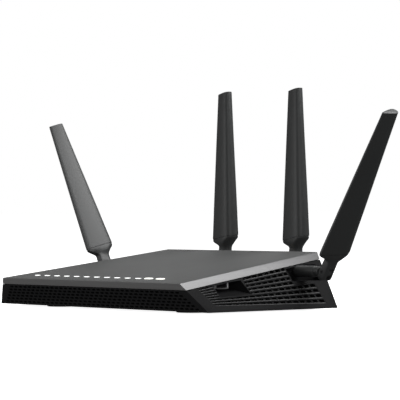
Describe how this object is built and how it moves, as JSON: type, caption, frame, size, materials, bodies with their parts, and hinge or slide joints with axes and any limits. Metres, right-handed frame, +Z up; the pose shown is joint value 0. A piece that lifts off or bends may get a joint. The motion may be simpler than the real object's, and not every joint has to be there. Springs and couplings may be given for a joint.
{
  "type": "wireless router",
  "caption": "Wedge-shaped desktop wireless router with vented black case, grey brushed cover and folding blade antennas at the sides and rear.",
  "frame": {"origin": "centre of the whole assembly's floor area, at the underside of the feet", "axes": "+X along the front edge, +Y from the front to the rear, +Z up"},
  "size_m": [0.4594, 0.2128, 0.1981],
  "materials": {
    "cover_grey": "satin, finely brushed on the rim",
    "case_black": "fine texture",
    "antenna_black": "satin",
    "rubber": "matte",
    "board_green": "solder mask over glass laminate",
    "chip_black": "moulded",
    "aluminium": "extruded",
    "steel": "nickel plated",
    "brass": "plated",
    "light_guide": "clear to milky",
    "port_black": "moulded",
    "port_yellow": "moulded",
    "lead_grey": "coaxial jacket"
  },
  "bodies": {
    "case": {"top_cover": "cover_grey", "lower_case": "case_black", "rear_panel": "case_black", "main_board": "board_green", "processor": "chip_black", "heat_sink": "aluminium", "radio_shield_left": "steel", "radio_shield_right": "steel", "ethernet_ports": "port_yellow", "internet_port": "port_black", "power_jack": "port_black", "light_guide": "light_guide", "usb_port_rear": "steel", "usb_port_front": "steel", "esata_port": "steel", "foot_front_left": "rubber", "foot_front_right": "rubber", "foot_rear_left": "rubber", "foot_rear_right": "rubber", "case_screw_1": "steel", "board_screw_1": "steel", "case_screw_2": "steel", "board_screw_2": "steel", "case_screw_3": "steel", "board_screw_3": "steel", "case_screw_4": "steel", "board_screw_4": "steel", "left_antenna_jack": "brass", "left_jack_nut": "steel", "left_antenna_lead": "lead_grey", "right_antenna_jack": "brass", "right_jack_nut": "steel", "right_antenna_lead": "lead_grey", "rear_left_antenna_jack": "brass", "rear_left_jack_nut": "steel", "rear_left_antenna_lead": "lead_grey", "rear_right_antenna_jack": "brass", "rear_right_jack_nut": "steel", "rear_right_antenna_lead": "lead_grey"},
    "led_switch_body": {"led_switch": "port_black"},
    "power_button_body": {"power_button": "port_black"},
    "reset_button_body": {"reset_button": "port_black"},
    "wifi_button_body": {"wifi_button": "light_guide"},
    "wps_button_body": {"wps_button": "light_guide"},
    "left_base": {"left_antenna_base": "antenna_black"},
    "left_blade": {"left_antenna_blade": "antenna_black", "left_hinge_pin": "steel", "left_radiator": "brass"},
    "right_base": {"right_antenna_base": "antenna_black"},
    "right_blade": {"right_antenna_blade": "antenna_black", "right_hinge_pin": "steel", "right_radiator": "brass"},
    "rear_left_base": {"rear_left_antenna_base": "antenna_black"},
    "rear_left_blade": {"rear_left_antenna_blade": "antenna_black", "rear_left_hinge_pin": "steel", "rear_left_radiator": "brass"},
    "rear_right_base": {"rear_right_antenna_base": "antenna_black"},
    "rear_right_blade": {"rear_right_antenna_blade": "antenna_black", "rear_right_hinge_pin": "steel", "rear_right_radiator": "brass"}
  },
  "joints": [
    {"name": "left_swivel", "type": "hinge", "parent": "case", "child": "left_base", "pos_m": [-0.1494, 0.0394, 0.0337], "axis": [1, 0, 0], "range_deg": [-90, 90]},
    {"name": "left_fold", "type": "hinge", "parent": "left_base", "child": "left_blade", "pos_m": [-0.1494, 0.0394, 0.0337], "axis": [0, -1, 0], "range_deg": [-29.5, 60.5]},
    {"name": "right_swivel", "type": "hinge", "parent": "case", "child": "right_base", "pos_m": [0.1494, 0.0394, 0.0337], "axis": [1, 0, 0], "range_deg": [-90, 90]},
    {"name": "right_fold", "type": "hinge", "parent": "right_base", "child": "right_blade", "pos_m": [0.1494, 0.0394, 0.0337], "axis": [0, 1, 0], "range_deg": [-29.5, 60.5]},
    {"name": "rear_left_swivel", "type": "hinge", "parent": "case", "child": "rear_left_base", "pos_m": [-0.0477, 0.1004, 0.041], "axis": [0, -1, 0], "range_deg": [-14, 90]},
    {"name": "rear_left_fold", "type": "hinge", "parent": "rear_left_base", "child": "rear_left_blade", "pos_m": [-0.0477, 0.1004, 0.041], "axis": [-1, 0, 0], "range_deg": [0, 90]},
    {"name": "rear_right_swivel", "type": "hinge", "parent": "case", "child": "rear_right_base", "pos_m": [0.0477, 0.1004, 0.041], "axis": [0, 1, 0], "range_deg": [-14, 90]},
    {"name": "rear_right_fold", "type": "hinge", "parent": "rear_right_base", "child": "rear_right_blade", "pos_m": [0.0477, 0.1004, 0.041], "axis": [-1, 0, 0], "range_deg": [0, 90]},
    {"name": "power_button_press", "type": "slide", "parent": "case", "child": "power_button_body", "axis": [0, -1, 0], "range_m": [0, 0.0015], "stiffness_N_per_m": 300},
    {"name": "reset_button_press", "type": "slide", "parent": "case", "child": "reset_button_body", "axis": [0, -1, 0], "range_m": [0, 0.001], "stiffness_N_per_m": 300},
    {"name": "led_switch_slide", "type": "slide", "parent": "case", "child": "led_switch_body", "axis": [1, 0, 0], "range_m": [0, 0.003]},
    {"name": "wifi_button_press", "type": "slide", "parent": "case", "child": "wifi_button_body", "axis": [0, 0, -1], "range_m": [0, 0.0008], "stiffness_N_per_m": 300},
    {"name": "wps_button_press", "type": "slide", "parent": "case", "child": "wps_button_body", "axis": [0, 0, -1], "range_m": [0, 0.0008], "stiffness_N_per_m": 300}
  ]
}
